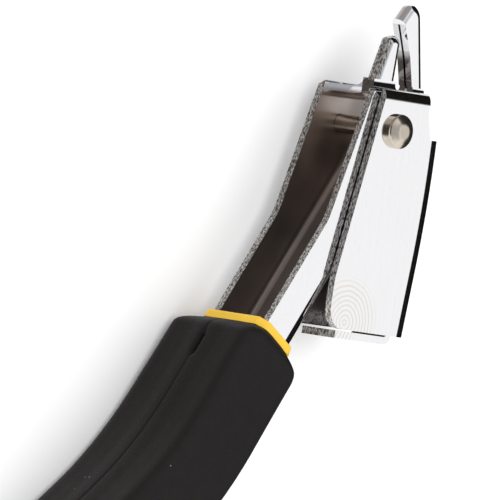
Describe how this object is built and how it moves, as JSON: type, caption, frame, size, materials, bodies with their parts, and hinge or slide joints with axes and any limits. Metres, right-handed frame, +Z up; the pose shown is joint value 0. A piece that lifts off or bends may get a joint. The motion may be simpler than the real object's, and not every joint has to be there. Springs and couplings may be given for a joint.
{
  "type": "staple lifter",
  "caption": "Hand tool that lifts upholstery staples: channel handle with rubber grip and short jaw, pivoted in a curved shoe with a long jaw.",
  "frame": {"origin": "middle of the tool's box in plan, on the surface that it lies on", "axes": "tool lying on its side: +X from the grip towards the jaws, +Y towards the open back of the handle channel, +Z up, along the pivot rivet"},
  "size_m": [0.1752, 0.1252, 0.03],
  "materials": {
    "chromed_steel": "bright chrome plate on pressed steel",
    "nickel_rivet": "bright nickel plate",
    "yellow_plastic": "moulded, satin gloss",
    "black_rubber": "moulded, matte"
  },
  "bodies": {
    "handle": {"handle_channel": "chromed_steel", "grip_sleeve": "yellow_plastic", "rubber_grip": "black_rubber"},
    "shoe": {"lifting_shoe": "chromed_steel", "pivot_rivet": "nickel_rivet"}
  },
  "joints": [
    {"name": "shoe_pivot", "type": "hinge", "parent": "handle", "child": "shoe", "pos_m": [0.05475, -0.04376, 0.015], "axis": [0, 0, 1], "range_deg": [-14, 2.8]}
  ]
}
